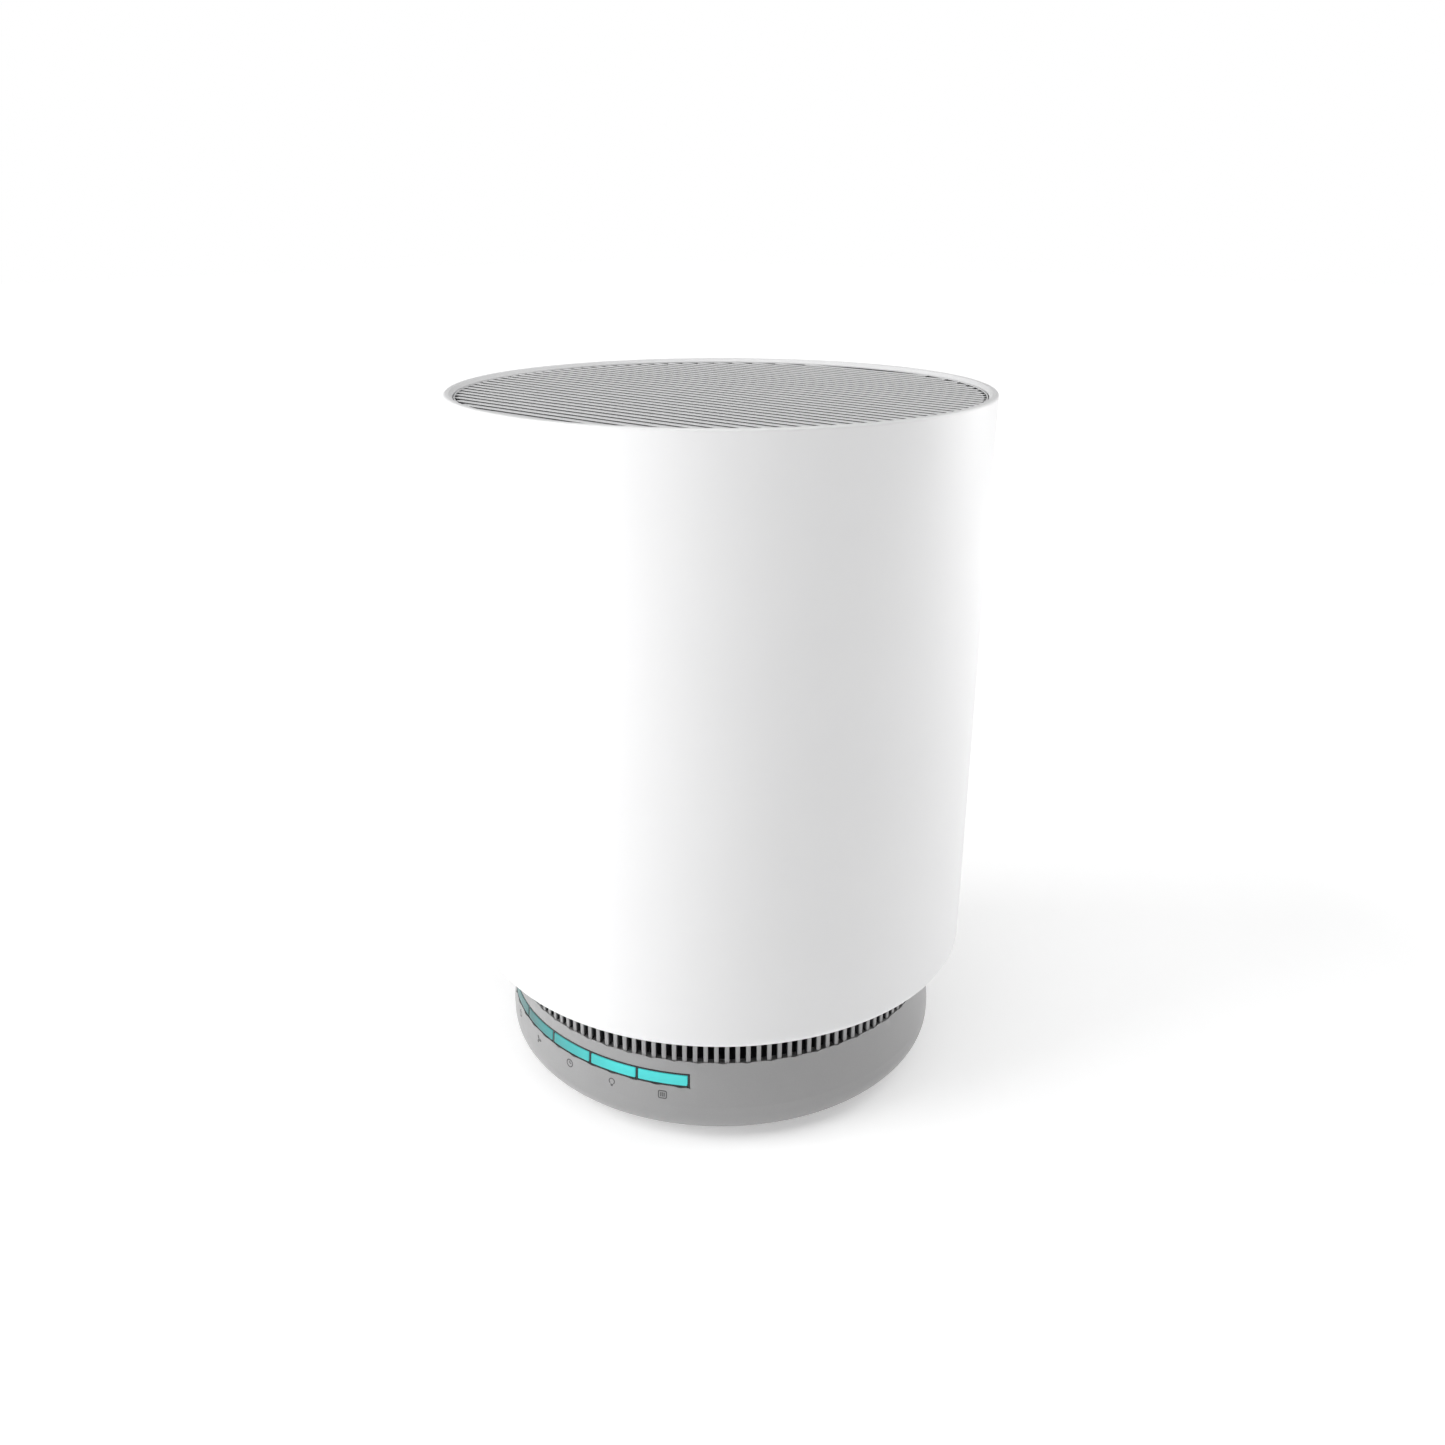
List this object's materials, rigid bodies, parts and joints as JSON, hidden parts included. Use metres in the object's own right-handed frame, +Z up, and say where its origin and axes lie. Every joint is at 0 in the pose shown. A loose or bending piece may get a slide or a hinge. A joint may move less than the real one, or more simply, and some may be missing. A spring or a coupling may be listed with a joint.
{
  "type": "air purifier",
  "caption": "Small cylindrical desk-top air purifier with a lift-out slatted top grille, a ring of air slots above a silver base, and a curved strip of lit keys.",
  "frame": {"origin": "on the floor, under the middle of the body", "axes": "+Z up, the front with the keys faces -Y, the power inlet faces +Y"},
  "size_m": [0.183, 0.183, 0.245],
  "materials": {
    "white_shell": "satin white",
    "grey_grille": "satin grey",
    "silver_base": "fine silver paint on plastic",
    "silver_cover": "fine texture",
    "dark_plastic": "fine texture",
    "black_trim": "black",
    "lit_key": "translucent, lit from behind",
    "switch_plastic": "plain",
    "circuit_board": "green lacquer",
    "steel": "bright",
    "rubber_foot": "matt",
    "fan_plastic": "satin",
    "magnet": "bonded ferrite",
    "brass": "turned",
    "winding_wire": "enamelled copper wire",
    "filter_paper": "pleated fibre",
    "filter_mesh": "open net",
    "filter_frame": "fine texture",
    "foam": "closed-cell foam",
    "strap": "woven",
    "lead_cover": "satin"
  },
  "bodies": {
    "housing": {"outer_shell": "white_shell", "base_housing": "silver_base", "bottom_cover": "silver_cover", "base_deck": "dark_plastic", "button_bezel": "black_trim", "tact_switch_1": "switch_plastic", "tact_switch_2": "switch_plastic", "tact_switch_3": "switch_plastic", "tact_switch_4": "switch_plastic", "tact_switch_5": "switch_plastic", "control_board": "circuit_board", "main_board": "circuit_board", "motor_board": "circuit_board", "inlet_socket": "black_trim", "inlet_pin": "steel", "foot_1": "rubber_foot", "foot_2": "rubber_foot", "foot_3": "rubber_foot", "foot_4": "rubber_foot", "cover_screw_1": "steel", "cover_screw_2": "steel", "cover_screw_3": "steel", "cover_screw_4": "steel", "frame_screw_1": "steel", "frame_screw_2": "steel", "frame_screw_3": "steel", "frame_screw_4": "steel", "fan_plate": "dark_plastic", "fan_housing": "dark_plastic", "inner_liner": "dark_plastic", "filter_seat": "dark_plastic", "bearing_tube": "brass", "lower_bearing": "steel", "upper_bearing": "steel", "motor_stator": "steel", "motor_winding": "winding_wire", "filter_media": "filter_paper", "filter_outer_mesh": "filter_mesh", "filter_inner_mesh": "filter_mesh", "filter_top_cap": "filter_frame", "filter_bottom_cap": "filter_frame", "filter_gasket": "foam", "pull_tab": "strap", "motor_lead": "lead_cover", "control_lead": "lead_cover", "inlet_lead": "lead_cover"},
    "grille": {"top_grille": "grey_grille"},
    "fan_rotor": {"impeller": "fan_plastic", "rotor_cup": "steel", "rotor_magnet": "magnet", "motor_shaft": "steel"},
    "key_1": {"button_1": "lit_key"},
    "key_2": {"button_2": "lit_key"},
    "key_3": {"button_3": "lit_key"},
    "key_4": {"button_4": "lit_key"},
    "key_5": {"button_5": "lit_key"}
  },
  "joints": [
    {"name": "fan_spin", "type": "hinge", "parent": "housing", "child": "fan_rotor", "pos_m": [0, 0, 0.075], "axis": [0, 0, 1], "continuous": true},
    {"name": "grille_lock", "type": "hinge", "parent": "housing", "child": "grille", "pos_m": [0, 0, 0.24], "axis": [0, 0, 1], "range_deg": [0, 30]},
    {"name": "key_1_press", "type": "slide", "parent": "housing", "child": "key_1", "axis": [0.4571, 0.8894, 0], "range_m": [0, 0.0008], "stiffness_N_per_m": 1500},
    {"name": "key_2_press", "type": "slide", "parent": "housing", "child": "key_2", "axis": [0.2351, 0.972, 0], "range_m": [0, 0.0008], "stiffness_N_per_m": 1500},
    {"name": "key_3_press", "type": "slide", "parent": "housing", "child": "key_3", "axis": [0, 1, 0], "range_m": [0, 0.0008], "stiffness_N_per_m": 1500},
    {"name": "key_4_press", "type": "slide", "parent": "housing", "child": "key_4", "axis": [-0.2351, 0.972, 0], "range_m": [0, 0.0008], "stiffness_N_per_m": 1500},
    {"name": "key_5_press", "type": "slide", "parent": "housing", "child": "key_5", "axis": [-0.4571, 0.8894, 0], "range_m": [0, 0.0008], "stiffness_N_per_m": 1500}
  ]
}
